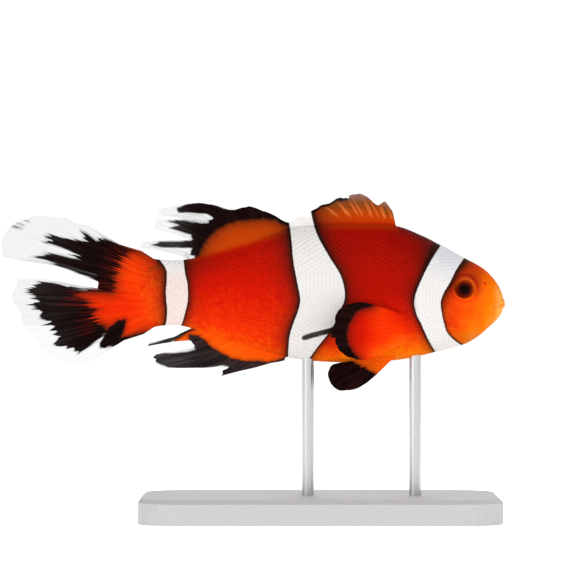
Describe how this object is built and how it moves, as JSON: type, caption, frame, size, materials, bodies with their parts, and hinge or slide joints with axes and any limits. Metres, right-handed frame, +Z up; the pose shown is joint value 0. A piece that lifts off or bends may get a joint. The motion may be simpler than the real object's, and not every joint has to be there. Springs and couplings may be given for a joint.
{
  "type": "clownfish",
  "caption": "Life-size clownfish, long-finned form, as a still swimming model held level over a flat base by short rods.",
  "frame": {"origin": "centre of the underside of the stand's base, under the fish", "axes": "+X towards the snout along the level body, +Z up, -Y is the fish's right side"},
  "size_m": [0.1006, 0.04, 0.0654],
  "materials": {
    "skin": "satin scaled skin, orange to deep red with three white bars edged in black",
    "fins": "satin fin membrane over rays, orange at the roots, black outwards, with thin pale margins",
    "eyes": "wet gloss, black pupil in an orange iris",
    "stand_base": "plain pale grey, satin",
    "stand_rods": "plain drawn steel rod"
  },
  "bodies": {
    "root": {"head": "skin", "lower_jaw": "skin", "gill_cover_left": "skin", "gill_cover_right": "skin", "trunk": "skin", "tail_stalk": "skin", "dorsal_fin_spiny": "fins", "dorsal_fin_soft": "fins", "anal_fin": "fins", "caudal_fin": "fins", "pectoral_fin_left": "fins", "pectoral_fin_right": "fins", "pelvic_fin_left": "fins", "pelvic_fin_right": "fins", "eye_left": "eyes", "eye_right": "eyes", "stand_base": "stand_base", "stand_rod_front": "stand_rods", "stand_rod_rear": "stand_rods"}
  },
  "joints": []
}
